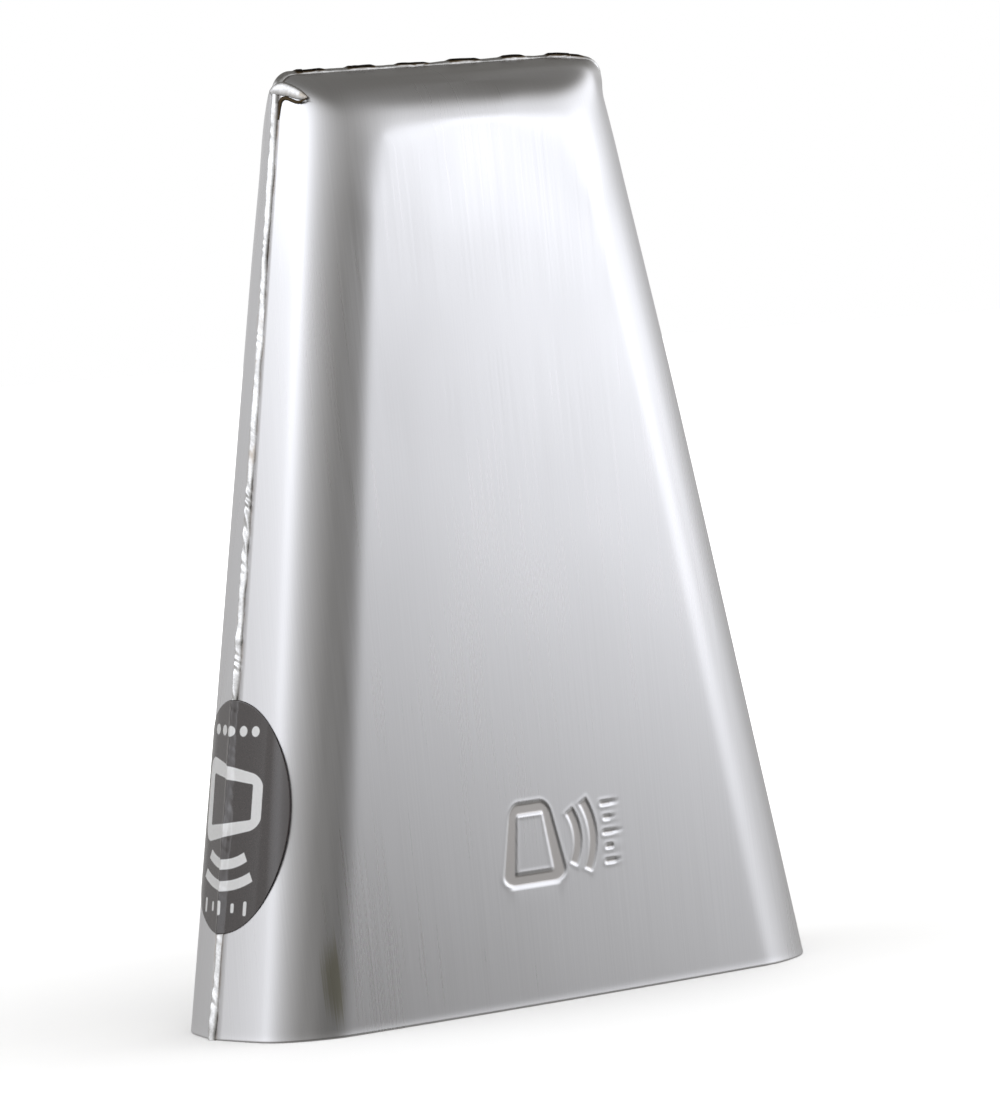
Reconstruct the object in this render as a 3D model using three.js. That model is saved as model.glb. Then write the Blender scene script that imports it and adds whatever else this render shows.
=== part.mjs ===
// Hand-held cowbell. Two stamped steel half shells meet edge to edge in the plane Y = 0.
// They are welded along both sides, across the crown and over the two crown corners,
// and the mouth at the bottom is open. A thin oval label wraps one side seam.
// Millimetres. +Z runs from the mouth rim (Z = 0) up to the crown. The striking face is
// the front, at -Y. Left is -X.
import * as THREE from "three";

// Driving dimensions of the bell.
const HEIGHT = 207;
const MOUTH_HALF_WIDTH = 75;
const CROWN_HALF_WIDTH = 40;
const MOUTH_HALF_DEPTH = 24.5;
const CROWN_HALF_DEPTH = 16.3;
const SHEET = 1.6;

// Draft of the walls, measured from the depth direction, and the bends to the flat faces.
const FRONT_DRAFT = THREE.MathUtils.degToRad(22);
const BACK_DRAFT = THREE.MathUtils.degToRad(8);
const CROWN_DRAFT = THREE.MathUtils.degToRad(14);
const MOUTH_BEND = 18;
const CROWN_END_BEND = 16;
const CROWN_BEND = 12;

// Plan corners: at the welded edge, and where the bends run into the flat face.
const EDGE_CORNER = 4;
const FACE_CORNER = 8;

// The welding groove: the sheets' outer edges are bevelled, with a root gap between them.
const ROOT_GAP = 0.2;
const BEVEL_INSET = 1;
const BEVEL_DEPTH = 1.1;

// Weld beads: half width across the seam, and how far they stand proud.
const BEAD = { halfWidth: 1.4, proud: 1 };
const CORNER_BEAD = { halfWidth: 2.4, proud: 1.5 };
const BEAD_ROOT = 0.6;
const BEAD_GAP = 0.3;
const CORNER_RUN = 3;

// The label: an ellipse centred on the left seam, half width measured round the wall.
const LABEL = { height: 47.8, halfWidth: 17.9, halfHeight: 25.1, lift: 0.15, thickness: 0.2 };
const LABEL_BUMP = { height: 1.3, halfWidth: 2.1 };

// Facets.
const SIDE_STEPS = 8;
const CORNER_STEPS = 6;
const CROWN_STEPS = 3;
const WALL_STEPS = 2;
const BEND_STEPS = 7;
const LABEL_STEPS = 14;

const { lerp } = THREE.MathUtils;
const halfWidth = (z) => lerp(MOUTH_HALF_WIDTH, CROWN_HALF_WIDTH, z / HEIGHT);
const halfDepth = (z) => lerp(MOUTH_HALF_DEPTH, CROWN_HALF_DEPTH, z / HEIGHT);
const sideBend = (z) => lerp(MOUTH_BEND, CROWN_END_BEND, z / HEIGHT);

// Length of the straight drafted wall between the seam and the bend.
function wallLength(depth, radius, draft) {
  return (depth - radius * (1 - Math.sin(draft))) / Math.cos(draft);
}

// How far the flat face starts inside the seam edge.
function faceInset(depth, radius, draft) {
  return wallLength(depth, radius, draft) * Math.sin(draft) + radius * Math.cos(draft);
}

// A wall's section as [share of the inset, share of the depth] from the seam to the flat
// face. The outer skin starts inside the bevel, and the inner skin starts at its own edge.
function wallSection(depth, radius, draft, bevelled) {
  const wall = wallLength(depth, radius, draft);
  const points = [[bevelled ? BEVEL_INSET : 0, ROOT_GAP / 2]];
  for (let k = 0; k < WALL_STEPS; k++) {
    const along = lerp(BEVEL_DEPTH / Math.cos(draft), wall, k / WALL_STEPS);
    points.push([along * Math.sin(draft), along * Math.cos(draft)]);
  }
  for (let k = 0; k <= BEND_STEPS; k++) {
    const turn = lerp(draft, Math.PI / 2, k / BEND_STEPS);
    points.push([
      wall * Math.sin(draft) + radius * (Math.cos(draft) - Math.cos(turn)),
      wall * Math.cos(draft) + radius * (Math.sin(turn) - Math.sin(draft)),
    ]);
  }
  const inset = faceInset(depth, radius, draft);
  return points.map(([across, deep]) => [across / inset, deep / depth]);
}

// The angle by which a side line leans in from the vertical.
function leanOf(widthAt) {
  return Math.atan((widthAt(0) - widthAt(HEIGHT)) / HEIGHT);
}

// Stations up the right side, round its crown corner, along the crown and down the left
// side, as [x, z]. The same station of two contours is joined by one wall section.
function contour(widthAt, top, radius) {
  const lean = leanOf(widthAt);
  const centreZ = top - radius;
  const centreX = widthAt(centreZ) - radius / Math.cos(lean);
  const half = [];
  for (let k = 0; k <= SIDE_STEPS; k++) {
    const z = ((centreZ + radius * Math.sin(lean)) * k) / SIDE_STEPS;
    half.push([widthAt(z), z]);
  }
  for (let k = 1; k <= CORNER_STEPS; k++) {
    const turn = lerp(lean, Math.PI / 2, k / CORNER_STEPS);
    half.push([centreX + radius * Math.cos(turn), centreZ + radius * Math.sin(turn)]);
  }
  for (let k = 1; k <= CROWN_STEPS; k++) {
    half.push([centreX * (1 - k / CROWN_STEPS), top]);
  }
  const mirrored = half.slice(0, -1).reverse().map(([x, z]) => [-x, z]);
  return half.concat(mirrored);
}

// Share of the crown's section in a station's section: 0 up the sides, 1 on the crown.
function crownShare(station, count) {
  const fromEnd = Math.min(station, count - 1 - station);
  return THREE.MathUtils.clamp((fromEnd - SIDE_STEPS) / CORNER_STEPS, 0, 1);
}

// One skin of a half shell: the walls as a grid of stations by section points, and the
// flat face as a grid of columns by rows. offset is 0 for the outer skin and the sheet
// thickness for the inner one. side is -1 for the front half and 1 for the back half.
function skin(draft, offset, side) {
  const crownRadius = CROWN_BEND - offset;
  const depthAt = (z) => halfDepth(z) - offset;
  const edgeWidth = (z) => halfWidth(z) - offset / Math.cos(draft);
  const edgeTop = HEIGHT - offset / Math.cos(CROWN_DRAFT);
  const sideInset = (z) => faceInset(depthAt(z), sideBend(z) - offset, draft);
  const faceTop = edgeTop - faceInset(depthAt(HEIGHT), crownRadius, CROWN_DRAFT);
  const edge = contour(edgeWidth, edgeTop, EDGE_CORNER - offset);
  const face = contour((z) => edgeWidth(z) - sideInset(z), faceTop, FACE_CORNER);

  const walls = edge.map(([edgeX, edgeZ], station) => {
    const [faceX, faceZ] = face[station];
    const depth = depthAt(faceZ);
    const sides = wallSection(depth, sideBend(faceZ) - offset, draft, offset === 0);
    const crown = wallSection(depth, crownRadius, CROWN_DRAFT, offset === 0);
    const share = crownShare(station, edge.length);
    return sides.map(([across, deep], k) => {
      const inset = lerp(across, crown[k][0], share);
      const x = lerp(edgeX, faceX, inset);
      const z = lerp(edgeZ, faceZ, inset);
      return [x, side * lerp(deep, crown[k][1], share) * depthAt(z), z];
    });
  });
  return { walls, flat: flatFace(face, (z) => side * depthAt(z)) };
}

// The flat face inside a contour, as columns from left to right of points going up. Its
// upper corners are the middles of the contour's corner arcs.
function flatFace(face, planeAt) {
  const last = face.length - 1;
  const cornerStation = SIDE_STEPS + CORNER_STEPS / 2;
  const [cornerX, cornerZ] = face[cornerStation];
  const columns = [];
  for (let station = last - cornerStation; station >= cornerStation; station--) {
    const [topX, topZ] = face[station];
    const column = [];
    for (let row = 0; row <= cornerStation; row++) {
      const [rowX, rowZ] = face[row];
      const z = rowZ + ((topZ - cornerZ) * row) / cornerStation;
      column.push([(rowX * topX) / cornerX, planeAt(z), z]);
    }
    columns.push(column);
  }
  return columns;
}

// Triangles of a grid of points. The face looks along (first index) x (second index).
function patch(grid, flipped) {
  const triangles = [];
  for (let i = 0; i + 1 < grid.length; i++) {
    for (let j = 0; j + 1 < grid[i].length; j++) {
      const [a, b, c, d] = [grid[i][j], grid[i + 1][j], grid[i + 1][j + 1], grid[i][j + 1]];
      triangles.push([a, b, c], [a, c, d]);
    }
  }
  return flipped ? triangles.map(([a, b, c]) => [a, c, b]) : triangles;
}

function geometryOf(triangles) {
  const geometry = new THREE.BufferGeometry();
  geometry.setAttribute("position", new THREE.Float32BufferAttribute(triangles.flat(2), 3));
  geometry.computeVertexNormals();
  return geometry;
}

// A half shell: outer and inner skins, joined by the land along the seam and by the rim
// round the mouth.
function halfShell(draft, side) {
  const outer = skin(draft, 0, side);
  const inner = skin(draft, SHEET, side);
  const land = outer.walls.map((section, k) => [section[0], inner.walls[k][0]]);
  const rimLine = ({ walls, flat }) => [
    ...walls[0],
    ...flat.slice(1, -1).reverse().map((column) => column[0]),
    ...walls[walls.length - 1].slice().reverse(),
  ];
  const innerRim = rimLine(inner);
  const rim = rimLine(outer).map((point, k) => [point, innerRim[k]]);
  const back = side > 0;
  return geometryOf([
    ...patch(outer.walls, back),
    ...patch(outer.flat, back),
    ...patch(inner.walls, !back),
    ...patch(inner.flat, !back),
    ...patch(land, !back),
    ...patch(rim, back),
  ]);
}

// A bead's section, as [outward, across the seam] from the seam line. Its root sits in
// the welding groove, clear of both sheets.
function beadSection({ halfWidth: reach, proud }) {
  const flank = [[-0.15, 0.8], [0.05, reach], [0.55 * proud, 0.8 * reach], [0.9 * proud, 0.45 * reach]];
  const mirrored = flank.slice().reverse().map(([out, across]) => [out, -across]);
  return [[-BEAD_ROOT, 0], ...flank, [proud, 0], ...mirrored];
}

// A bead laid through stations {x, z, turn}, where turn is the outward direction's angle.
function bead(stations, size) {
  const section = beadSection(size);
  const rings = stations.map(({ x, z, turn }) =>
    section.map(([out, across]) => [x + out * Math.cos(turn), across, z + out * Math.sin(turn)]));
  const closed = rings.map((ring) => [...ring, ring[0]]);
  const cap = (ring) => ring.slice(1, -1).map((point, k) => [ring[0], point, ring[k + 2]]);
  const startCap = cap(rings[0]);
  const endCap = cap(rings[rings.length - 1]).map(([a, b, c]) => [a, c, b]);
  return geometryOf([...patch(closed, false), ...startCap, ...endCap]);
}

// The outer edge's right crown corner: arc centre, radius and lean of the side line.
const EDGE_LEAN = leanOf(halfWidth);
const CORNER_Z = HEIGHT - EDGE_CORNER;
const CORNER_X = halfWidth(CORNER_Z) - EDGE_CORNER / Math.cos(EDGE_LEAN);
const SIDE_TOP = CORNER_Z + EDGE_CORNER * Math.sin(EDGE_LEAN);

const mirror = ({ x, z, turn }) => ({ x: -x, z, turn: Math.PI - turn });

// The right side's bead runs from the rim to just below the corner bead.
function sideBead() {
  const end = SIDE_TOP - CORNER_RUN - BEAD_GAP;
  return [0, end].map((z) => ({ x: halfWidth(z), z, turn: EDGE_LEAN }));
}

// The crown's bead runs between the two corner beads.
function crownBead() {
  const end = CORNER_X - CORNER_RUN - BEAD_GAP;
  return [end, -end].map((x) => ({ x, z: HEIGHT, turn: Math.PI / 2 }));
}

// The right corner's bead turns from the side onto the crown.
function cornerBead() {
  const low = SIDE_TOP - CORNER_RUN;
  const stations = [{ x: halfWidth(low), z: low, turn: EDGE_LEAN }];
  for (let k = 0; k <= CORNER_STEPS; k++) {
    const turn = lerp(EDGE_LEAN, Math.PI / 2, k / CORNER_STEPS);
    stations.push({
      x: CORNER_X + EDGE_CORNER * Math.cos(turn),
      z: CORNER_Z + EDGE_CORNER * Math.sin(turn),
      turn,
    });
  }
  stations.push({ x: CORNER_X - CORNER_RUN, z: HEIGHT, turn: Math.PI / 2 });
  return stations;
}

// A point on the left wall's outside: round is the way round the wall from the seam,
// towards the front if positive, and lift is the height above the steel.
function onLeftWall(round, z, lift) {
  const draft = round > 0 ? FRONT_DRAFT : BACK_DRAFT;
  const way = Math.abs(round);
  const radius = sideBend(z);
  const wall = wallLength(halfDepth(z), radius, draft);
  const straight = Math.min(way, wall);
  const turn = draft + Math.max(way - wall, 0) / radius;
  const inset = straight * Math.sin(draft) + radius * (Math.cos(draft) - Math.cos(turn));
  const depth = straight * Math.cos(draft) + radius * (Math.sin(turn) - Math.sin(draft));
  const facing = Math.sign(round) * turn * Math.min(way / LABEL_BUMP.halfWidth, 1);
  const x = -halfWidth(z) + inset - lift * Math.cos(facing);
  return [x, -Math.sign(round) * depth - lift * Math.sin(facing), z];
}

// The label is a thin sheet over both walls, raised where it passes over the bead.
function labelGeometry() {
  const layer = (extra) => {
    const grid = [];
    for (let i = -LABEL_STEPS / 2; i <= LABEL_STEPS / 2; i++) {
      const s = Math.sign(i) * Math.pow(Math.abs(2 * i) / LABEL_STEPS, 1.6);
      const line = [];
      for (let j = -LABEL_STEPS / 2; j <= LABEL_STEPS / 2; j++) {
        const t = (2 * j) / LABEL_STEPS;
        const round = LABEL.halfWidth * s * Math.sqrt(1 - (t * t) / 2);
        const z = LABEL.height + LABEL.halfHeight * t * Math.sqrt(1 - (s * s) / 2);
        const bump = LABEL_BUMP.height * Math.exp(-((round / LABEL_BUMP.halfWidth) ** 2));
        line.push(onLeftWall(round, z, LABEL.lift + bump + extra));
      }
      grid.push(line);
    }
    return grid;
  };
  const outside = layer(LABEL.thickness);
  const inside = layer(0);
  const last = LABEL_STEPS;
  const border = (grid) => [
    ...grid.map((line) => line[0]),
    ...grid[last].slice(1),
    ...grid.slice(0, -1).reverse().map((line) => line[last]),
    ...grid[0].slice(0, -1).reverse(),
  ];
  const insideBorder = border(inside);
  const edge = border(outside).map((point, k) => [point, insideBorder[k]]);
  return geometryOf([...patch(outside, false), ...patch(inside, true), ...patch(edge, true)]);
}

const steel = (color, roughness) => new THREE.MeshStandardMaterial({ color, roughness, metalness: 1 });
const ink = new THREE.MeshStandardMaterial({ color: 0x4b494b, roughness: 0.35, metalness: 0 });

function part(name, geometry, material) {
  const mesh = new THREE.Mesh(geometry, material);
  mesh.name = name;
  return mesh;
}

const cowbell = new THREE.Group();
cowbell.add(
  part("front_shell", halfShell(FRONT_DRAFT, -1), steel(0xd2d3d6, 0.32)),
  part("back_shell", halfShell(BACK_DRAFT, 1), steel(0xcfd0d3, 0.34)),
  part("right_side_weld", bead(sideBead(), BEAD), steel(0xe2e2e0, 0.28)),
  part("left_side_weld", bead(sideBead().map(mirror).reverse(), BEAD), steel(0xe2e2e0, 0.28)),
  part("crown_weld", bead(crownBead(), BEAD), steel(0xbcb9b2, 0.3)),
  part("right_corner_weld", bead(cornerBead(), CORNER_BEAD), steel(0xe6e6e4, 0.26)),
  part("left_corner_weld", bead(cornerBead().map(mirror).reverse(), CORNER_BEAD), steel(0xe6e6e4, 0.26)),
  part("side_label", labelGeometry(), ink),
);

export default cowbell;
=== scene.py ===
"""Hand-held cowbell: fine meshes, materials, stage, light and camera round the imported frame.

The half shells, weld beads and label are rebuilt here from the same formulas as the CAD
part, with many more facets, and with the detail that makes them real: rippled welds, a
pressed pictogram, softly crowned panels, a rolled rim and a printed label.
Lengths in the formulas are millimetres. Meshes are made in metres.
"""
import math

import bmesh
import bpy
import numpy as np
from mathutils import Matrix, Vector


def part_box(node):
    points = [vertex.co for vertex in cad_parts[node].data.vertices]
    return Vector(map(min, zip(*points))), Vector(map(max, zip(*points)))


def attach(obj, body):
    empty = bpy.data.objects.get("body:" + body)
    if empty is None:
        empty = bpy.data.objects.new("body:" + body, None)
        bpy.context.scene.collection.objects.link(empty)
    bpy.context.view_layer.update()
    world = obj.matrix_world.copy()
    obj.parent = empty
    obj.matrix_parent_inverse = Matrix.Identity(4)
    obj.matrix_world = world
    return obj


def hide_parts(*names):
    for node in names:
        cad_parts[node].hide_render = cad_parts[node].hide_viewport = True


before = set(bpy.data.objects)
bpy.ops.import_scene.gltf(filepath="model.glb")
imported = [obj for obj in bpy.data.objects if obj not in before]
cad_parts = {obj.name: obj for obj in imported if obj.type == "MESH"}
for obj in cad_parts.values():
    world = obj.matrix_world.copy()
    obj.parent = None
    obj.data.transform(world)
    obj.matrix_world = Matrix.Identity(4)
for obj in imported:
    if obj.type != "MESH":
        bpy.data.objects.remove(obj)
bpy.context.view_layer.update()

MM = 0.001

# ---------------------------------------------------------------- sizes, millimetres
FRONT_DRAFT = math.radians(22)
BACK_DRAFT = math.radians(8)
CROWN_DRAFT = math.radians(14)
SHEET = 1.6
MOUTH_BEND = 18.0
CROWN_END_BEND = 16.0
CROWN_BEND = 12.0
EDGE_CORNER = 4.0
FACE_CORNER = 8.0
ROOT_GAP = 0.2
BEVEL_INSET = 1.0
BEVEL_DEPTH = 1.1
BEAD_PROUD = 1.0
CROWN_HALF_WIDTH = 40.0
CROWN_HALF_DEPTH = 16.3

# The driving sizes come from the frame's own boxes.
front_low, front_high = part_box("front_shell")
MOUTH_HALF_DEPTH = -front_low.y / MM
MOUTH_HALF_WIDTH = front_high.x / MM + BEVEL_DEPTH * math.tan(FRONT_DRAFT)
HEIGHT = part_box("crown_weld")[1].z / MM - BEAD_PROUD
label_low, label_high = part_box("side_label")
LABEL_Z = (label_low.z + label_high.z) / 2 / MM
LABEL_HALF_HEIGHT = (label_high.z - label_low.z) / 2 / MM
LABEL_HALF_WIDTH = 17.9

# Softness that the plain CAD solids leave out.
PANEL_CROWN = math.radians(2.4)
PANEL_DATUM = 0.6
PANEL_MARGIN = 6.0
RIM_ROUND = 0.45
RIM_FLARE = 0.05
RIM_FLARE_HEIGHT = 2.0
WALL_BOW = 0.45
WALL_BOW_REACH = 24.0
BACK_SWELL = 1.9
BACK_SWELL_Z = 204.0
BACK_SWELL_REACH = 9.0
CROWN_WAVE = 0.10
CROWN_WAVE_SEED = 301
TUCK = 1.0
TUCK_Z = 176.0
TUCK_REACH = 30.0
CORNER_PULL = 1.3
CORNER_DROP = 0.9
PULL_X = (29.0, 38.0)
PULL_FRONT = (-10.0, -4.0)
PULL_BACK = (16.0, 10.0)
PULL_Z = (196.0, 204.0)
SOFT_REACH = 18.0
SOFT_ROUNDS = 140

# The painted dark reflection, an olive patch on the front half's left bend near the mouth: its centre,
# and how far it reaches.
DARK_REFLECTION = np.array([-56.1, -24.0, 12.5])
DARK_REFLECTION_REACH = np.array([2.8, 6.0, 10.5])

# The pressed pictogram on the front panel.
MARK_X = 0.0
MARK_Z = 35.5
MARK_DEPTH = 0.11
MARK_EDGE = 0.36
MARK_LIP = 0.02
FAR_FROM_PRINT = 9.0


# ---------------------------------------------------------------- small maths
def lerp(a, b, t):
    return a + (b - a) * t


def smooth(t):
    t = np.clip(t, 0.0, 1.0)
    return t * t * (3 - 2 * t)


def fade(value, start, full):
    """Rises smoothly from 0 at start to 1 at full, and stays there."""
    return smooth((value - start) / (full - start))


def half_width(z):
    return lerp(MOUTH_HALF_WIDTH, CROWN_HALF_WIDTH, z / HEIGHT)


def half_depth(z):
    return lerp(MOUTH_HALF_DEPTH, CROWN_HALF_DEPTH, z / HEIGHT)


def side_bend(z):
    return lerp(MOUTH_BEND, CROWN_END_BEND, z / HEIGHT)


KNOTS = 512
NOISE_START = 100.0


def ripple_noise(x, seed):
    """Smooth one-dimensional noise from -1 to 1, with one knot for each unit of x. It
    starts NOISE_START knots in, so that small negative distances are covered as well."""
    knots = np.random.default_rng(seed).uniform(-1, 1, KNOTS)
    x = np.asarray(x, float) + NOISE_START
    whole = np.floor(x).astype(int)
    part = smooth(x - whole)
    return lerp(knots[whole % KNOTS], knots[(whole + 1) % KNOTS], part)


def wall_length(depth, radius, draft):
    return (depth - radius * (1 - math.sin(draft))) / math.cos(draft)


def face_inset(depth, radius, draft):
    return wall_length(depth, radius, draft) * math.sin(draft) + radius * math.cos(draft)


# ---------------------------------------------------------------- half shells
BEVEL_STEPS = 3
WALL_STEPS = 7
BEND_STEPS = 22
CORNER_STEPS = 12
SIDE_FADE_STEPS = 14


def wall_section(depth, radius, draft, bevelled):
    """[share of the inset, share of the depth] from the seam to the flat panel."""
    wall = wall_length(depth, radius, draft)
    start = (BEVEL_INSET if bevelled else 0.0, ROOT_GAP / 2)
    bevel_end = (BEVEL_DEPTH * math.tan(draft), BEVEL_DEPTH)
    points = []
    for k in range(BEVEL_STEPS):
        share = k / BEVEL_STEPS
        points.append((lerp(start[0], bevel_end[0], share), lerp(start[1], bevel_end[1], share)))
    for k in range(WALL_STEPS):
        along = lerp(BEVEL_DEPTH / math.cos(draft), wall, k / WALL_STEPS)
        points.append((along * math.sin(draft), along * math.cos(draft)))
    for k in range(BEND_STEPS + 1):
        turn = lerp(draft, math.pi / 2, k / BEND_STEPS)
        across = wall * math.sin(draft) + radius * (math.cos(draft) - math.cos(turn))
        deep = wall * math.cos(draft) + radius * (math.sin(turn) - math.sin(draft))
        points.append((across, deep))
    return np.array(points) / np.array([face_inset(depth, radius, draft), depth])


def contour(width_at, top, radius, side_shares, crown_shares):
    """Stations up the right side, round its corner, along the crown and down the left."""
    lean = math.atan((width_at(0) - width_at(HEIGHT)) / HEIGHT)
    centre_z = top - radius
    centre_x = width_at(centre_z) - radius / math.cos(lean)
    side_top = centre_z + radius * math.sin(lean)
    half = [(width_at(share * side_top), share * side_top) for share in side_shares]
    for k in range(1, CORNER_STEPS + 1):
        turn = lerp(lean, math.pi / 2, k / CORNER_STEPS)
        half.append((centre_x + radius * math.cos(turn), centre_z + radius * math.sin(turn)))
    half += [(centre_x * share, top) for share in crown_shares]
    return np.array(half + [(-x, z) for x, z in half[-2::-1]])


def spread(stops):
    """Numbers that run through the stops [(value, steps to the next value), ...]."""
    out = []
    for (value, steps), (following, _) in zip(stops, stops[1:]):
        out += list(np.linspace(value, following, steps, endpoint=False))
    return out + [stops[-1][0]]


# Shares of the side's height and of the crown's half width at which stations lie. They
# are close together at the rim, and round the pressed pictogram on the front.
RIM_STOPS = [(0.0, 6), (0.0022, 5), (0.006, 5), (0.016, 6)]
FRONT_SIDES = spread(RIM_STOPS + [(0.135, 1), (0.14, 74), (0.265, 14), (0.4, 14), (0.8, 14), (1.0, 0)])
FRONT_CROWN = spread([(1.0, 14), (0.44, 56), (0.0, 0)])[1:]
BACK_SIDES = spread(RIM_STOPS + [(0.1, 40), (0.8, 14), (1.0, 0)])
BACK_CROWN = spread([(1.0, 16), (0.0, 0)])[1:]


def steps_from_end(count):
    """How many stations each of count stations lies from the nearer end of its contour."""
    station = np.arange(count)
    return np.minimum(station, count - 1 - station)


def running_length(grid):
    """The distance run along each row of a grid of points, from the row's first point."""
    steps = np.linalg.norm(np.diff(grid, axis=1), axis=2)
    return np.concatenate([np.zeros((len(grid), 1)), np.cumsum(steps, axis=1)], axis=1)


def skin(draft, offset, side_shares, crown_shares):
    """One skin of a half shell as two grids of (x, depth, z): the walls as stations by
    section points, and the flat panel as columns by rows."""
    crown_radius = CROWN_BEND - offset

    def depth_at(z):
        return half_depth(z) - offset

    def edge_width(z):
        return half_width(z) - offset / math.cos(draft)

    def panel_width(z):
        return edge_width(z) - face_inset(depth_at(z), side_bend(z) - offset, draft)

    edge_top = HEIGHT - offset / math.cos(CROWN_DRAFT)
    panel_top = edge_top - face_inset(depth_at(HEIGHT), crown_radius, CROWN_DRAFT)
    edge = contour(edge_width, edge_top, EDGE_CORNER - offset, side_shares, crown_shares)
    panel = contour(panel_width, panel_top, FACE_CORNER, side_shares, crown_shares)
    count = len(edge)
    sides = len(side_shares) - 1

    walls = []
    for station, from_end in enumerate(steps_from_end(count)):
        (edge_x, edge_z), (panel_x, panel_z) = edge[station], panel[station]
        depth = depth_at(panel_z)
        side = wall_section(depth, side_bend(panel_z) - offset, draft, offset == 0)
        crown = wall_section(depth, crown_radius, CROWN_DRAFT, offset == 0)
        share = smooth((from_end - sides) / CORNER_STEPS)
        inset, deep = lerp(side, crown, share).T
        z = lerp(edge_z, panel_z, inset)
        walls.append(np.stack([lerp(edge_x, panel_x, inset), deep * depth_at(z), z], axis=1))

    corner = sides + CORNER_STEPS // 2
    corner_x, corner_z = panel[corner]
    row_x, row_z = panel[: corner + 1].T
    flat = []
    for station in range(count - 1 - corner, corner - 1, -1):
        top_x, top_z = panel[station]
        z = row_z + (top_z - corner_z) * np.linspace(0, 1, corner + 1)
        flat.append(np.stack([row_x * top_x / corner_x, depth_at(z), z], axis=1))
    return np.array(walls), np.array(flat), panel_width, panel_top


def panel_bulge(x, z, panel_width, panel_top):
    """How far a slightly crowned panel stands off its plane: proud in the middle, and a
    little more below the plane at its edges."""
    reach = panel_width(np.minimum(z, panel_top)) + PANEL_MARGIN
    across = np.clip(1 - (x / reach) ** 2, 0, 1)
    rise = smooth((panel_top + 4.0 - z) / 30.0)
    return (across - PANEL_DATUM) * rise * reach * math.tan(PANEL_CROWN) / 2


def wall_bow(way):
    """How far a side wall bows out, at a distance round it from its bevel."""
    return WALL_BOW * np.sin(math.pi * np.clip(way / WALL_BOW_REACH, 0, 1))


def back_swell(way, z):
    """How far the back half's side walls swell out below the crown corners."""
    level = np.exp(-((z - BACK_SWELL_Z) / BACK_SWELL_REACH) ** 2)
    return BACK_SWELL * level * np.sin(math.pi * np.clip(way / WALL_BOW_REACH, 0, 1))


def crown_waves(x, way):
    """Faint unevenness of the crown, where the pressing was ground by hand."""
    along = ripple_noise(x / 8 + way / 11, CROWN_WAVE_SEED)
    across = ripple_noise(way / 4.5 - x / 16, CROWN_WAVE_SEED + 1)
    return CROWN_WAVE * along * across * np.sin(math.pi * way / way[:, -1:])


def tuck(x, z, panel_width):
    """How far the front half's right bend is tucked in below the crown."""
    level = np.exp(-((z - TUCK_Z) / TUCK_REACH) ** 2)
    return TUCK * level * np.clip(x / panel_width(z), 0, 1)


def rim_profile(z):
    """How far the sheet stands out near the rim: a slight flare, and a rolled edge."""
    flare = RIM_FLARE * np.clip(1 - z / RIM_FLARE_HEIGHT, 0, 1) ** 2
    drop = np.clip(RIM_ROUND - z, 0, RIM_ROUND)
    rolled = RIM_ROUND - np.sqrt(np.maximum(RIM_ROUND**2 - drop**2, 0))
    return flare - rolled


def grid_normals(grid):
    """Unit normals of a grid of points, along (first index) x (second index)."""
    normal = np.cross(np.gradient(grid, axis=0), np.gradient(grid, axis=1))
    length = np.linalg.norm(normal, axis=2, keepdims=True)
    return normal / np.maximum(length, 1e-9)


class Builder:
    """Collects grids of points and turns them into one closed, welded mesh object. Each
    point may carry named values, which become vertex attributes for the materials."""

    def __init__(self, **blank_values):
        self.points = []
        self.faces = []
        self.materials = []
        self.values = {name: [] for name in blank_values}
        self.blank = blank_values
        self.count = 0

    def grid(self, grid, material=0, **values):
        rows, columns = grid.shape[:2]
        index = np.arange(rows * columns).reshape(rows, columns) + self.count
        quads = np.stack([index[:-1, :-1], index[1:, :-1], index[1:, 1:], index[:-1, 1:]], axis=-1)
        self.faces.append(quads.reshape(-1, 4))
        self.materials += [material] * self.faces[-1].shape[0]
        self.points.append(grid.reshape(-1, 3))
        self.count += rows * columns
        for name, blank in self.blank.items():
            value = np.broadcast_to(values.get(name, blank), (rows, columns))
            self.values[name].append(value.reshape(-1))

    def build(self, name, materials, weld=0.002):
        """A mesh object in metres, with points nearer than weld millimetres merged and
        every face turned outwards."""
        mesh = bpy.data.meshes.new(name)
        points = np.concatenate(self.points) * MM
        mesh.from_pydata(points.tolist(), [], np.concatenate(self.faces).tolist())
        mesh.polygons.foreach_set("material_index", self.materials)
        for material in materials:
            mesh.materials.append(material)
        for key, values in self.values.items():
            attribute = mesh.attributes.new(key, "FLOAT", "POINT")
            attribute.data.foreach_set("value", np.concatenate(values).astype(np.float32))
        piece = bpy.data.objects.new(name, mesh)
        bpy.context.scene.collection.objects.link(piece)
        merge = piece.modifiers.new("weld", "WELD")
        merge.merge_threshold = weld * MM
        apply_modifiers(piece)
        turn_outwards(piece.data)
        piece.data.shade_smooth()
        return piece


def turn_outwards(mesh):
    work = bmesh.new()
    work.from_mesh(mesh)
    bmesh.ops.recalc_face_normals(work, faces=work.faces)
    work.to_mesh(mesh)
    work.free()


def apply_modifiers(piece):
    bpy.context.view_layer.objects.active = piece
    for modifier in list(piece.modifiers):
        with bpy.context.temp_override(object=piece, active_object=piece):
            bpy.ops.object.modifier_apply(modifier=modifier.name)


# ---------------------------------------------------------------- the pictogram
def box_distance(x, z, half_x, half_z, corner):
    """Signed distance to a rounded box centred on the origin."""
    dx = np.abs(x) - half_x + corner
    dz = np.abs(z) - half_z + corner
    outside = np.hypot(np.maximum(dx, 0), np.maximum(dz, 0))
    return outside + np.minimum(np.maximum(dx, dz), 0) - corner


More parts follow.
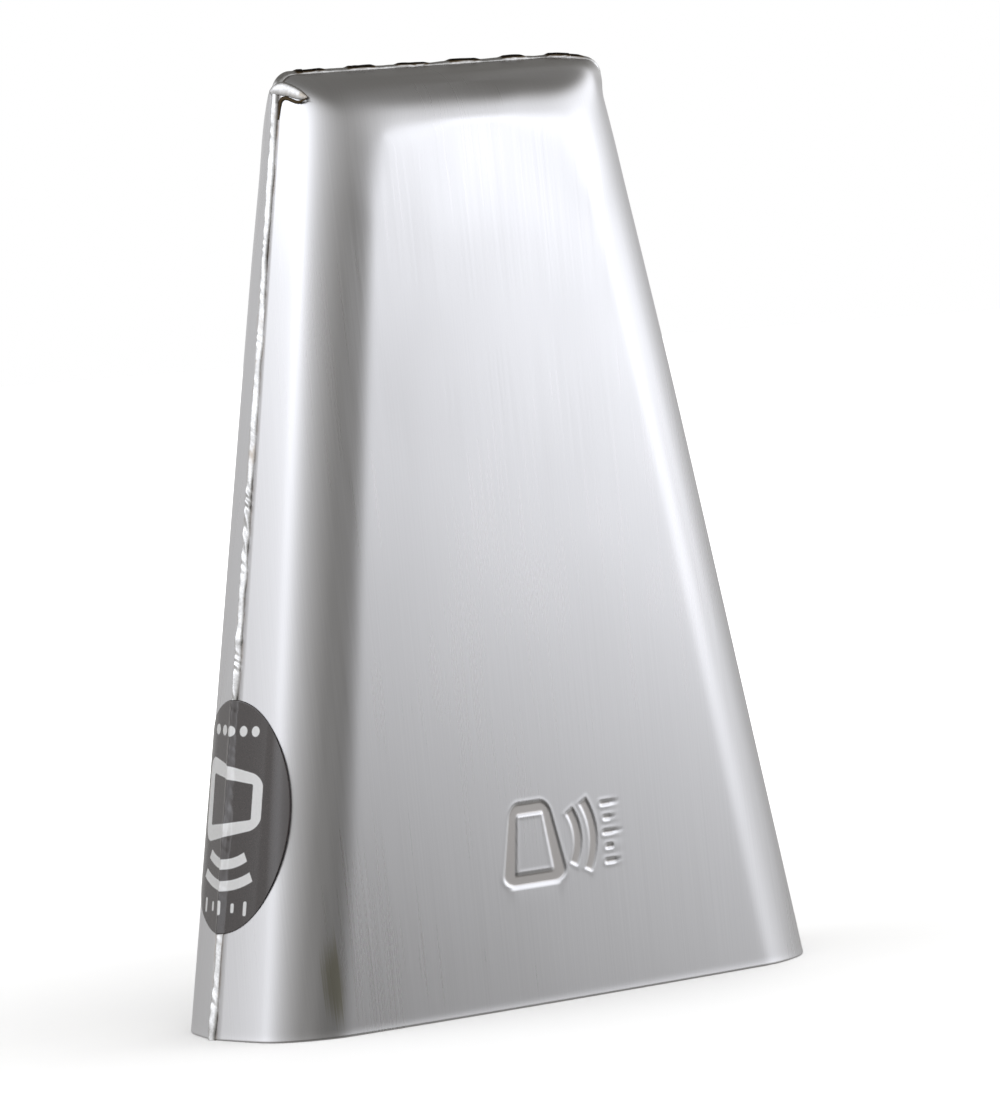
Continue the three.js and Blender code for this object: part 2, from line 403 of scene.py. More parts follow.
def pictogram_distance(x, z):
    """Signed distance to a plain sign for a bell that sounds: a tapered outline, two
    curved strokes beside it and a row of short ticks. About 27 by 18, centred on (0, 0)."""
    taper = 1 - 0.27 * np.clip(z / 9.0, -1, 1)
    outline = np.abs(box_distance((x + 4.6) / taper, z, 5.3, 7.7, 1.6)) - 1.25
    radius = np.hypot(x + 4.6, z)
    angle = np.abs(np.arctan2(z, x + 4.6))
    waves = [
        np.maximum(np.abs(radius - reach) - 0.95, (angle - limit) * reach)
        for reach, limit in ((11.6, 0.52), (15.6, 0.50))
    ]
    ticks = [
        box_distance(x - 15.0, z - step * 3.2, 0.9 if step % 2 else 1.35, 0.42, 0.3)
        for step in range(-2, 3)
    ]
    return np.minimum.reduce([outline, *waves, *ticks])


def pressed(grid):
    """Presses the pictogram into a front panel grid of (x, depth, z), and gives each
    point's signed distance to its outline."""
    distance = pictogram_distance(grid[..., 0] - MARK_X, grid[..., 2] - MARK_Z)
    inside = smooth(0.5 - distance / MARK_EDGE)
    lip = MARK_LIP * np.exp(-((distance - 0.45) / 0.35) ** 2)
    grid[..., 1] += lip - MARK_DEPTH * inside
    return distance


def brush_across(walls, sides):
    """A coordinate across the brushing lines, in millimetres, for a grid of wall points:
    x on the crown, and the distance round the bend on the side walls."""
    around = running_length(walls[:, ::-1, :2])[:, ::-1]
    edge = walls[:, -1:, 0]
    crown = smooth((steps_from_end(len(walls)) - sides) / CORNER_STEPS)[:, None]
    return edge + lerp(np.sign(edge) * around, walls[..., 0] - edge, crown)


def shape_skin(walls, flat, panel_width, panel_top, side, sides):
    """Gives an outer skin's two grids their soft detail: the crowned panel, the bowed and
    swollen walls, the uneven crown, the rim's flare and roll, and the tuck under the crown."""
    from_end = steps_from_end(len(walls))
    on_side = 1 - smooth((from_end - sides + SIDE_FADE_STEPS) / SIDE_FADE_STEPS)[:, None]
    off_crown = 1 - smooth((from_end - sides) / CORNER_STEPS)[:, None]
    way = running_length(walls)
    for grid in (walls, flat):
        x, depth, z = grid[..., 0], grid[..., 1], grid[..., 2]
        full = smooth((depth / half_depth(z) - 0.55) / 0.45)
        out = grid_normals(grid * [1, -1, 1])
        lift = rim_profile(z)
        if grid is walls:
            lift = lift + wall_bow(way - BEVEL_DEPTH) * on_side
            lift = lift + crown_waves(x, way) * (1 - off_crown)
            if side > 0:
                lift = lift + back_swell(way - BEVEL_DEPTH, z) * off_crown
        grid[..., 0] += out[..., 0] * lift
        grid[..., 1] += full * panel_bulge(x, z, panel_width, panel_top)
        grid[..., 1] += np.abs(out[..., 1]) * lift
        if side < 0:
            grid[..., 0] -= tuck(x, z, panel_width) * smooth(depth / half_depth(z))


def rim_line(walls, flat):
    """A skin's points along the mouth's rim."""
    return np.concatenate([walls[0], flat[-2:0:-1, 0], walls[-1][::-1]])


def paint_dark_reflection(piece):
    """Gives the steel its value for the painted dark reflection: 1 at the patch's centre, and 0 far from
    it.
    """
    distance = np.linalg.norm((mesh_points(piece) - DARK_REFLECTION) / DARK_REFLECTION_REACH, axis=1)
    attribute = piece.data.attributes.new("dark_reflection", "FLOAT", "POINT")
    attribute.data.foreach_set("value", np.exp(-distance**2).astype(np.float32))


def half_shell(name, draft, side, side_shares, crown_shares, marked, materials):
    """A half shell: the outer skin with its soft detail, the plain inner skin, the land
    along the seam and the rim. side is -1 for the front half and 1 for the back half."""
    walls, flat, panel_width, panel_top = skin(draft, 0, side_shares, crown_shares)
    inner_walls, inner_flat, _, _ = skin(draft, SHEET, side_shares, crown_shares)
    sides = len(side_shares) - 1
    shape_skin(walls, flat, panel_width, panel_top, side, sides)
    mark = pressed(flat) if marked else FAR_FROM_PRINT

    to_side = np.array([1, side, 1])
    builder = Builder(brush=0.0, mark=FAR_FROM_PRINT)
    builder.grid(walls * to_side, brush=brush_across(walls, sides))
    builder.grid(flat * to_side, brush=flat[..., 0], mark=mark)
    builder.grid(inner_walls * to_side, 1)
    builder.grid(inner_flat * to_side, 1)
    land = np.stack([walls[:, 0], inner_walls[:, 0]], axis=1)
    builder.grid(land * to_side, 1)
    rim = np.stack([rim_line(walls, flat), rim_line(inner_walls, inner_flat)], axis=1)
    builder.grid(rim * to_side, 1)
    piece = builder.build(name, materials)
    soften_corners(piece, walls, sides)
    pull_corner(piece)
    paint_dark_reflection(piece)
    return piece


def pull_corner(piece):
    """Pulls the right crown corner outwards and down, as the closing weld has done. The
    pull fades in between each pair of the PULL places."""
    points = mesh_points(piece)
    x, y, z = points.T
    near = fade(z, *PULL_Z) * fade(x, *PULL_X) * fade(y, *PULL_FRONT) * fade(y, *PULL_BACK)
    points += near[:, None] * [CORNER_PULL, 0, -CORNER_DROP]
    piece.data.vertices.foreach_set("co", (points * MM).ravel())
    piece.data.update()


def soften_corners(piece, walls, sides):
    """Relaxes the mitres at the two crown corners, which a stamping leaves soft."""
    corner = sides + CORNER_STEPS // 2
    mitre = np.abs(walls[corner][::4])
    points = np.abs(mesh_points(piece))
    apart = points[:, None] - mitre[None]
    near = np.linalg.norm(apart, axis=2).min(axis=1)
    weight = smooth((SOFT_REACH - near) / SOFT_REACH) * smooth((points[:, 1] - 2.0) / 5.0)
    group = piece.vertex_groups.new(name="corners")
    for index in np.flatnonzero(weight > 0.01):
        group.add([int(index)], float(weight[index]), "REPLACE")
    relax = piece.modifiers.new("relax", "SMOOTH")
    relax.factor = 0.5
    relax.iterations = SOFT_ROUNDS
    relax.vertex_group = group.name
    apply_modifiers(piece)
    piece.vertex_groups.clear()


def mesh_points(piece):
    """The piece's vertices in millimetres."""
    points = np.zeros(len(piece.data.vertices) * 3)
    piece.data.vertices.foreach_get("co", points)
    return points.reshape(-1, 3) / MM


# ---------------------------------------------------------------- weld beads
# How each run of weld looks: its crest above the seam, how far the crest falls for each
# millimetre to the front, the size of its ripples, and its reach to the front and back.
SIDE_BEAD = {"crest": 0.38, "fall": 0.50, "ripple": 0.22, "front": 1.20, "back": 1.20}
CROWN_BEAD = {"crest": 0.50, "fall": 0.30, "ripple": 0.05, "front": 0.90, "back": 0.95}
RIGHT_CORNER = {"crest": 0.40, "fall": 0.36, "ripple": 0.06, "front": 1.05, "back": 1.15}
LEFT_CORNER = {"crest": 0.55, "fall": 0.50, "ripple": 0.05, "front": 0.85, "back": 1.9}

# Each run's noise starts from its own seed, and so do the scorch and the scale.
LEFT_SEED = 31
RIGHT_SEED = 57
CROWN_SEED = 83
RIGHT_CORNER_SEED = 101
LEFT_CORNER_SEED = 115
SCORCH_SEED = 211
SCALE_SEED = 221

BEAD_STEP = 0.2
BEAD_COLUMNS = 41
BEAD_HALF_SPAN = 1.9
CORNER_HALF_SPAN = 2.4
BEAD_FOOT = -1.45
BEAD_SHARP = math.radians(70)
RIPPLE_PERIOD = 3.6
SCALE_PERIOD = 12.8
SCALE_START = 0.094

# Where the runs of weld meet: the side seams end CORNER_RUN below the crown corner's arc.
EDGE_LEAN = math.atan((half_width(0) - half_width(HEIGHT)) / HEIGHT)
CORNER_Z = HEIGHT - EDGE_CORNER
CORNER_X = half_width(CORNER_Z) - EDGE_CORNER / math.cos(EDGE_LEAN)
SIDE_TOP = CORNER_Z + EDGE_CORNER * math.sin(EDGE_LEAN)
CORNER_ARC = EDGE_CORNER * (math.pi / 2 - EDGE_LEAN)
CORNER_RUN = 3.0
SIDE_LENGTH = (SIDE_TOP - CORNER_RUN) / math.cos(EDGE_LEAN)
CROWN_LENGTH = 2 * (CORNER_X - CORNER_RUN)
CORNER_LENGTH = 2 * CORNER_RUN + CORNER_ARC


def side_scorch(s):
    """Where along a side seam the front toe is scorched: nearly everywhere near the crown
    and in short breaks lower down."""
    breaks = ripple_noise(s / 4.3, SCORCH_SEED) + 0.4 * ripple_noise(s / 1.7, SCORCH_SEED + 1)
    return smooth((breaks + 1.9 * fade(s, 95, 155) - 0.35) / 0.3)


def crown_scale(s):
    """Where along the crown seam the weld stands high and is covered by black scale: long
    lenses, one after another."""
    drift = 0.05 * ripple_noise(s / 12, SCALE_SEED)
    wave = np.sin(2 * math.pi * (s / SCALE_PERIOD + SCALE_START + drift))
    return smooth((wave + 0.25 * ripple_noise(s / 4, SCALE_SEED + 1) + 0.6) / 0.9)


def left_corner_scale(s):
    """The first lens of scale starts on the left corner's bead."""
    return crown_scale(s - CORNER_LENGTH) * fade(s - CORNER_LENGTH, -4, -2)


def right_corner_scale(s):
    """The last lens of scale ends on the right corner's bead."""
    return crown_scale(CROWN_LENGTH + CORNER_LENGTH - s) * fade(s - CORNER_LENGTH, -5.5, -3.5)


def nowhere(s):
    """A mark that is 0 all along a seam."""
    return 0.0 * s


def side_calm(s):
    """How lively a side seam's ripples are: smooth at the rim and towards the crown."""
    return 1 - 0.8 * fade(s, 118, 148) - 0.8 * fade(s, 9, 5)


def bead_shape(s, y, seed, form, thick=0.0, scorch=nowhere, scale=nowhere):
    """Height of the weld metal above the seam line, and how scorched it is, at a distance s
    along the seam and y across it. Front is negative y. Outside the bead the height falls
    away steeply. The scorch is 1 for brown scorching at the front toe and 2 for black scale."""
    middle = 0.24 * ripple_noise(s / 13, seed) + 0.10 * ripple_noise(s / 3.7, seed + 1)
    to_back = form["back"] + 0.2 * ripple_noise(s / 5.5, seed + 2) + 0.4 * thick
    to_front = form["front"] + 0.22 * ripple_noise(s / 4.6, seed + 3) + 0.5 * thick
    u = (y - middle) / np.where(y > middle, to_back, np.maximum(to_front, 0.45))
    dome = np.clip(1 - np.abs(u) ** 5, 0, 1) ** 0.5
    lively = smooth(0.55 + 0.9 * ripple_noise(s / 19, seed + 6))
    wave = s / RIPPLE_PERIOD + 0.9 * ripple_noise(s / 5, seed + 4) - 0.45 * u
    ripple = (0.5 + 0.5 * np.sin(2 * math.pi * wave)) * (0.15 + 0.85 * lively) * side_calm(s)
    black = scale(s)
    crest = form["crest"] + 0.14 * ripple_noise(s / 7.5, seed + 5) + form["ripple"] * ripple
    crest = crest + 0.45 * thick + 0.36 * black
    crest = crest - form["fall"] * np.maximum(0.3 - y, 0) - 0.14 * np.maximum(y, 0)
    toe = -0.60 - 0.35 * np.abs(y)
    burnt = smooth((0.80 - dome) / 0.3) * (y < 0.2) * scorch(s)
    burnt = np.maximum(burnt, 2 * black * smooth((dome - 0.66) / 0.2))
    return toe + dome * (crest - toe), burnt


def bead_piece(name, path, length, seed, form, half_span=BEAD_HALF_SPAN, **marks):
    """A bead as a closed strip. path(s) gives the seam point (x, z) and the outward unit
    vector (nx, nz) at a distance s. The marks thick, scorch and scale vary along s."""
    s = np.arange(0, length + BEAD_STEP / 2, BEAD_STEP)
    y = np.linspace(-half_span, half_span, BEAD_COLUMNS)
    grid_s, grid_y = np.meshgrid(s, y, indexing="ij")
    thick = marks.pop("thick", nowhere)(grid_s)
    height, burnt = bead_shape(grid_s, grid_y, seed, form, thick, **marks)
    x, z, out_x, out_z = path(grid_s)
    top = np.stack([x + out_x * height, grid_y, np.maximum(z + out_z * height, 0)], axis=-1)
    low = np.full_like(height, BEAD_FOOT)
    bottom = np.stack([x + out_x * low, grid_y, np.maximum(z + out_z * low, 0)], axis=-1)
    builder = Builder(burnt=0.0)
    builder.grid(top, burnt=burnt)
    builder.grid(bottom)
    builder.grid(np.stack([border(top), border(bottom)], axis=1))
    piece = builder.build(name, [bead_steel])
    piece.data.set_sharp_from_angle(angle=BEAD_SHARP)
    pull_corner(piece)
    return piece


def border(grid):
    """The loop of points round a grid's edge."""
    return np.concatenate([grid[:, 0], grid[-1, 1:], grid[-2::-1, -1], grid[0, -2::-1]])


def side_path(sign):
    """Up a side seam from the rim. sign is -1 on the left and 1 on the right."""

    def path(s):
        z = s * math.cos(EDGE_LEAN)
        return sign * half_width(z), z, sign * math.cos(EDGE_LEAN), math.sin(EDGE_LEAN)

    return path


def crown_path(s):
    """Along the crown seam from its left end to its right end."""
    return s - CORNER_X + CORNER_RUN, np.full_like(s, HEIGHT), 0.0, 1.0


def corner_path(sign):
    """Up the end of a side seam, round the crown corner and onto the crown seam."""

    def path(s):
        turn = EDGE_LEAN + np.clip(s - CORNER_RUN, 0, CORNER_ARC) / EDGE_CORNER
        before = np.maximum(CORNER_RUN - s, 0)
        after = np.maximum(s - CORNER_RUN - CORNER_ARC, 0)
        x = CORNER_X + EDGE_CORNER * np.cos(turn) + before * math.sin(EDGE_LEAN) - after
        z = CORNER_Z + EDGE_CORNER * np.sin(turn) - before * math.cos(EDGE_LEAN)
        return sign * x, z, sign * np.cos(turn), np.sin(turn)

    return path


def wall_point(depth, z, lift):
    """A point on the front shell's left wall, lifted off it."""
    inset = depth * math.tan(FRONT_DRAFT)
    out_x, out_y = -math.cos(FRONT_DRAFT), -math.sin(FRONT_DRAFT)
    return np.array([-half_width(z) + inset + out_x * lift, -depth + out_y * lift, z])


# The closing lap's lobe, and a thin dark tube in the crease under it that is a painted shadow, as
# stations of (depth, z, lift, radius).
LOBE = [(-1.0, 203.0, 0.1, 0.9), (0.3, 203.9, 0.2, 1.3), (2.0, 203.9, 0.05, 1.5)]
LOBE += [(3.8, 203.3, -0.1, 1.45), (5.4, 202.6, -0.2, 1.25), (6.8, 202.0, -0.25, 0.95)]
LOBE += [(7.8, 201.6, -0.35, 0.5), (8.2, 201.5, -0.4, 0.25)]
CREASE_SHADOW = [(1.3, 197.2, 0.0, 0.22), (1.5, 199.4, 0.0, 0.34), (1.4, 201.2, 0.0, 0.62)]
CREASE_SHADOW += [(2.4, 201.9, 0.0, 0.5), (3.8, 201.5, 0.0, 0.40), (5.4, 200.7, 0.0, 0.38)]
CREASE_SHADOW += [(6.8, 200.6, 0.0, 0.3), (8.4, 201.3, 0.0, 0.15)]
LAP_SEED = 77
LAP_STEPS = 48
LAP_SIDES = 32
LAP_SMOOTHING = 14
LAP_FACING = [-0.9, -0.4, 0.17]


def lap_tube(builder, stations, flatness, seed, burnt):
    """A flattened tube on the left wall, through stations of (depth, z, lift, radius): weld
    metal for the lobe, and a painted shadow for the crease. Its flatness is its height for each unit of
    width."""
    knots = np.array([[*wall_point(depth, z, lift), radius] for depth, z, lift, radius in stations])
    share = np.linspace(0, len(knots) - 1, LAP_STEPS)
    line = np.stack([np.interp(share, np.arange(len(knots)), knots[:, k]) for k in range(4)], axis=1)
    for _ in range(LAP_SMOOTHING):
        line[1:-1] = (line[:-2] + 2 * line[1:-1] + line[2:]) / 4
    along = np.gradient(line[:, :3], axis=0)
    along /= np.linalg.norm(along, axis=1, keepdims=True)
    across = np.cross(along, LAP_FACING)
    across /= np.linalg.norm(across, axis=1, keepdims=True)
    outward = np.cross(across, along)
    turn = np.linspace(0, 2 * math.pi, LAP_SIDES + 1)[None, :, None]
    lumps = 1 + 0.06 * ripple_noise(share * 1.6, seed)[:, None, None]
    radius = line[:, None, 3:] * lumps
    ring = across[:, None] * np.cos(turn) + flatness * outward[:, None] * np.sin(turn)
    tube = line[:, None, :3] + ring * radius
    builder.grid(tube, burnt=burnt)
    for end in (0, -1):
        centre = np.repeat(line[end, :3][None], tube.shape[1], axis=0)
        builder.grid(np.stack([tube[end], centre]), burnt=burnt)


def corner_lap(name):
    """The closing lap at the left crown corner: the bead folds over onto the wall and
    lies along the mitre, with a thin tube under it that is painted dark brown as the shadow in the
    crease."""
    builder = Builder(burnt=0.0)
    lap_tube(builder, LOBE, 0.30, LAP_SEED, 0.12)
    # The crease under the lobe is a thin tube painted dark brown: a painted shadow.
    lap_tube(builder, CREASE_SHADOW, 0.40, LAP_SEED + 1, 1.5)
    return builder.build(name, [bead_steel])


# ---------------------------------------------------------------- the label
LABEL_LIFT = 0.06
LABEL_THICKNESS = 0.12
LABEL_SIGN_SIZE = 1.16
LABEL_STEPS = 170
DRAPE_OFFSETS = (-0.36, -0.18, 0.0, 0.18, 0.36)


def on_left_wall(way, z, lift):
    """Points on the left wall's outside. way is the distance round the wall from the
    seam, positive to the front."""
    front = way > 0
    draft = np.where(front, FRONT_DRAFT, BACK_DRAFT)
    radius = side_bend(z)
    wall = (half_depth(z) - radius * (1 - np.sin(draft))) / np.cos(draft)
    distance = np.abs(way)
    straight = np.minimum(distance, wall)
    turn = draft + np.maximum(distance - wall, 0) / radius
    inset = straight * np.sin(draft) + radius * (np.cos(draft) - np.cos(turn))
    depth = straight * np.cos(draft) + radius * (np.sin(turn) - np.sin(draft))
    facing = np.sign(way) * turn * np.minimum(distance / 2.1, 1)
    x = -half_width(z) + inset - lift * np.cos(facing)
    return np.stack([x, -np.sign(way) * depth - lift * np.sin(facing), z], axis=-1)


def label_lift(way, z):
    """How far the film lies above the steel: close to it, and stretched over the bead."""
    s = z / math.cos(EDGE_LEAN)

    def over_wall(s, across):
        slope = np.tan(np.where(across > 0, FRONT_DRAFT, BACK_DRAFT))
        height, _ = bead_shape(s, -across, LEFT_SEED, SIDE_BEAD)
        return height + np.abs(across) * slope

    exact = np.maximum(over_wall(s, way), 0)
    draped = np.zeros_like(exact)
    for ds in DRAPE_OFFSETS:
        for dy in DRAPE_OFFSETS:
            nearby = [over_wall(s + ds, way + dy + reach) for reach in DRAPE_OFFSETS]
            highest = np.maximum.reduce(nearby)
            draped += np.maximum(highest, 0) / len(DRAPE_OFFSETS) ** 2
    bow = wall_bow(np.abs(way) - BEVEL_DEPTH)
    return LABEL_LIFT + bow + np.maximum(draped, exact)


def label_print_distance(way, z):
    """Signed distance to the label's print: the pictogram turned to read down the seam,
    with a plain row of dots above it."""
    up = z - LABEL_Z
    sign = LABEL_SIGN_SIZE * pictogram_distance(-(up + 2.0) / LABEL_SIGN_SIZE, way / LABEL_SIGN_SIZE)
    dots = [np.hypot(way - k * 3.6, up - 18.4) - 1.15 for k in range(-2, 3)]
    return np.minimum.reduce([sign, *dots])


def label_piece(name, materials):
    """The oval film, with its columns closest together over the weld."""
    line = np.linspace(-1, 1, LABEL_STEPS + 1)
    s, t = np.meshgrid(np.sign(line) * np.abs(line) ** 1.25, line, indexing="ij")
    way = LABEL_HALF_WIDTH * s * np.sqrt(1 - t * t / 2)
    z = LABEL_Z + LABEL_HALF_HEIGHT * t * np.sqrt(1 - s * s / 2)
    lift = label_lift(way, z)
    outside = on_left_wall(way, z, lift + LABEL_THICKNESS)
    inside = on_left_wall(way, z, lift)
    printed = label_print_distance(way, z)
    builder = Builder(printed=FAR_FROM_PRINT)
    builder.grid(outside, printed=printed)
    builder.grid(inside, 1)
    builder.grid(np.stack([border(outside), border(inside)], axis=1), 1)
    return builder.build(name, materials, weld=0.0005)


# ---------------------------------------------------------------- materials
def feed(tree, socket, value):
    """Links a node's input to another node's output, or sets it to a plain value."""
    if isinstance(value, bpy.types.NodeSocket):
        tree.links.new(value, socket)
    else:
        socket.default_value = value


def add_node(tree, kind, inputs=(), **settings):
    """A new node with its settings, and its inputs as {socket: output or value}."""
    node = tree.nodes.new(kind)
    for key, value in settings.items():
        setattr(node, key, value)
    for socket, value in dict(inputs).items():
        feed(tree, node.inputs[socket], value)
    return node


class Nodes:
    """Short calls for building one material's node tree."""

    def __init__(self, name):
        self.material = bpy.data.materials.new(name)
        self.material.use_nodes = True
        self.tree = self.material.node_tree
        self.shader = self.tree.nodes["Principled BSDF"]

    def add(self, kind, inputs=(), **settings):
        return add_node(self.tree, kind, inputs, **settings)

    def attribute(self, name):
        """One of the values that the piece's points carry."""
        return self.add("ShaderNodeAttribute", attribute_name=name).outputs["Fac"]

    def place(self, scale):
        """Object coordinates in metres, stretched by a scale for each axis."""
        coordinates = self.add("ShaderNodeTexCoord").outputs["Object"]
        return self.add("ShaderNodeMapping", {"Vector": coordinates, "Scale": scale}).outputs[0]

    def noise(self, scale, detail, roughness):
        inputs = {"Vector": self.place(scale), "Scale": 1.0, "Detail": detail, "Roughness": roughness}
        return self.add("ShaderNodeTexNoise", inputs).outputs[0]

    def span(self, value, low, high, to_low=0.0, to_high=1.0, soft=False):
        """A value's range from low to high, mapped to the range from to_low to to_high."""
        inputs = {"Value": value, "From Min": low, "From Max": high, "To Min": to_low, "To Max": to_high}
        kind = "SMOOTHSTEP" if soft else "LINEAR"
        return self.add("ShaderNodeMapRange", inputs, interpolation_type=kind).outputs[0]

    def math(self, operation, a, b=0.0):
        return self.add("ShaderNodeMath", {0: a, 1: b}, operation=operation).outputs[0]

    def mix(self, factor, a, b):
        return self.add("ShaderNodeMix", {0: factor, 6: a, 7: b}, data_type="RGBA").outputs[2]

    def bump(self, height, strength, distance):
        inputs = {"Height": height, "Strength": strength, "Distance": distance}
        return self.add("ShaderNodeBump", inputs).outputs[0]

    def finish(self, **sockets):
        """The material, with the shader's sockets set. Their names have _ for a space."""
        for name, value in sockets.items():
            feed(self.tree, self.shader.inputs[name.replace("_", " ")], value)
        return self.material


def grey(value, warm=0.0):
    return (value * (1 + warm), value, value * (1 - warm), 1)


STEEL_DARK = (0.630, 0.628, 0.640, 1)
STEEL_LIGHT = (0.664, 0.662, 0.674, 1)
HEAT_BROWN = (0.30, 0.21, 0.13, 1)
# The colour of the painted dark reflection on the left bend near the mouth.
REFLECTION_OLIVE = (0.38, 0.365, 0.28, 1)
PRESSED_DULL = (0.50, 0.475, 0.455, 1)


def brushed_steel():
    """Satin steel, brushed along the bell, with faint blotches, a heat tint beside the seams,
    a painted dark reflection (an olive patch) on the left bend near the mouth, and a duller
    floor in the pressed pictogram."""
    n = Nodes("brushed_steel")
    across = n.attribute("brush")
    coordinates = n.add("ShaderNodeTexCoord").outputs["Object"]
    parts = n.add("ShaderNodeSeparateXYZ", {0: coordinates}).outputs

    def streaks(per_mm, per_metre, seed):
        """Noise with knots per_mm across the brushing and per_metre along it."""
        way = n.math("MULTIPLY", across, per_mm)
        height = n.math("MULTIPLY", parts[2], per_metre)
        place = n.add("ShaderNodeCombineXYZ", {0: way, 1: seed, 2: height}).outputs[0]
        inputs = {"Vector": place, "Scale": 1.0, "Detail": 1, "Roughness": 0.6}
        return n.add("ShaderNodeTexNoise", inputs).outputs[0]

    fine = streaks(2.6, 20, 3.0)
    broad = streaks(0.55, 7, 8.0)
    blotch = n.noise((28, 28, 14), 2, 0.5)
    lines = n.math("ADD", n.math("MULTIPLY", fine, 0.86), n.math("MULTIPLY", broad, 0.14))
    steel = n.mix(n.span(lines, 0.3, 0.7), STEEL_DARK, STEEL_LIGHT)
    near_seam = n.span(n.math("ABSOLUTE", parts[1]), 0.0007, 0.0019, 1.0, 0.0, True)
    patchy = n.span(n.noise((260, 260, 190), 3, 0.6), 0.42, 0.62)
    steel = n.mix(n.math("MULTIPLY", near_seam, patchy), steel, HEAT_BROWN)
    # Painted dark reflection: an olive patch on the left bend near the mouth, with a ragged edge from
    # the brushing lines.
    ragged = n.math("ADD", n.attribute("dark_reflection"), n.span(fine, 0.3, 0.7, -0.22, 0.22))
    steel = n.mix(n.span(ragged, 0.25, 0.85, 0.0, 0.8, True), steel, REFLECTION_OLIVE)
    floor = n.span(n.attribute("mark"), -0.45, 0.05, 1.0, 0.0, True)
    steel = n.mix(n.math("MULTIPLY", floor, 0.85), steel, PRESSED_DULL)
    brushing = n.span(lines, 0.3, 0.7, 0.27, 0.32)
    roughness = n.math("ADD", brushing, n.span(blotch, 0.3, 0.7, -0.02, 0.03))
    roughness = n.math("ADD", roughness, n.math("MULTIPLY", floor, 0.08))
    tangent = n.add("ShaderNodeTangent", direction_type="RADIAL", axis="Z").outputs[0]
    bump = n.bump(lines, 0.015, 0.00003)
    return n.finish(
        Base_Color=steel, Metallic=1.0, Roughness=roughness, Anisotropic=0.65,
        Tangent=tangent, Normal=bump
    )


def mill_steel():
    """The bell's unbrushed inside, and its cut edges."""
    n = Nodes("mill_steel")
    cloud = n.noise((60, 60, 40), 4, 0.6)
    speck = n.noise((900, 900, 900), 2, 0.5)
    steel = n.mix(n.span(cloud, 0.35, 0.65), grey(0.42), grey(0.52, 0.01))
    roughness = n.span(speck, 0.3, 0.7, 0.34, 0.46)
    bump = n.bump(speck, 0.08, 0.00003)
    return n.finish(Base_Color=steel, Metallic=1.0, Roughness=roughness, Normal=bump)


def weld_steel():
    """Bright weld metal, turned brown at 1 and black at 2 by a value that its points carry: scorch and
    scale on the beads, and at 1.5 a painted shadow in the crease under the corner lap.
    """
    n = Nodes("weld_steel")
    patch = n.noise((210, 210, 210), 3, 0.6)
    speck = n.noise((1500, 1500, 1500), 2, 0.5)
    burnt = n.attribute("burnt")
    bright = n.mix(n.span(speck, 0.35, 0.65), grey(0.54, 0.004), grey(0.66, 0.002))
    tinted = n.mix(n.span(patch, 0.60, 0.74, 0, 0.6), bright, (0.40, 0.32, 0.23, 1))
    scorched = n.mix(patch, (0.045, 0.031, 0.016, 1), (0.16, 0.115, 0.065, 1))
    colour = n.mix(n.span(burnt, 0, 1), tinted, scorched)
    colour = n.mix(n.span(burnt, 1, 2), colour, (0.014, 0.010, 0.006, 1))
    roughness = n.math("ADD", n.span(patch, 0.35, 0.7, 0.20, 0.36), n.span(burnt, 0, 2, 0, 0.25))
    bump = n.bump(speck, 0.12, 0.00004)
    return n.finish(Base_Color=colour, Metallic=1.0, Roughness=roughness, Normal=bump)


def label_film():
    """Dark glossy printed film, with the pictogram in silver ink."""
    n = Nodes("label_film")
    distance = n.attribute("printed")
    ink = n.span(distance, -0.10, 0.10, 1.0, 0.0, True)
    grain = n.noise((1800, 1800, 1800), 2, 0.5)
    film = n.mix(grain, (0.026, 0.021, 0.020, 1), (0.036, 0.030, 0.030, 1))
    silver = n.mix(grain, grey(0.50), grey(0.58))
    colour = n.mix(ink, film, silver)
    roughness = n.span(ink, 0, 1, 0.12, 0.28)
    metal = n.span(ink, 0, 1, 0.0, 0.35)
    return n.finish(
        Base_Color=colour, Metallic=metal, Roughness=roughness, Specular_IOR_Level=0.85,
        Normal=n.bump(grain, 0.05, 0.00002)
    )


def label_edge():
    """The cut edge of the film."""
    n = Nodes("label_edge")
    grain = n.noise((1200, 1200, 1200), 2, 0.5)
    colour = n.mix(grain, (0.05, 0.046, 0.047, 1), (0.09, 0.085, 0.087, 1))
    return n.finish(Base_Color=colour, Roughness=n.span(grain, 0.3, 0.7, 0.4, 0.55))


# ---------------------------------------------------------------- pieces
shell_steel = [brushed_steel(), mill_steel()]
bead_steel = weld_steel()
film = [label_film(), label_edge()]


def place(piece, slot, node=None):
    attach(piece, "root")
    if node:
        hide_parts(node)


def left_swell(s):
    """The left bead's fat end at the rim, one blob of spatter part of the way up, and the
    build-up towards the crown corner."""
    blob = 0.5 * np.exp(-((s - 87) / 1.3) ** 2)
    return 0.8 * np.exp(-((s - 4.0) / 4.0) ** 2) + blob + 0.3 * fade(s, 180, 200)


front = half_shell("front_half", FRONT_DRAFT, -1, FRONT_SIDES, FRONT_CROWN, True, shell_steel)
place(front, "brushed_shell", "front_shell")
back = half_shell("back_half", BACK_DRAFT, 1, BACK_SIDES, BACK_CROWN, False, shell_steel)
place(back, "brushed_shell", "back_shell")

left_bead = bead_piece(
    "left_bead", side_path(-1), SIDE_LENGTH, LEFT_SEED, SIDE_BEAD, thick=left_swell, scorch=side_scorch
)
place(left_bead, "weld_bead", "left_side_weld")
right_bead = bead_piece(
    "right_bead", side_path(1), SIDE_LENGTH, RIGHT_SEED, SIDE_BEAD, scorch=side_scorch
)
place(right_bead, "weld_bead", "right_side_weld")
crown_bead = bead_piece(
    "crown_bead", crown_path, CROWN_LENGTH, CROWN_SEED, CROWN_BEAD, scale=crown_scale
)
place(crown_bead, "weld_bead", "crown_weld")

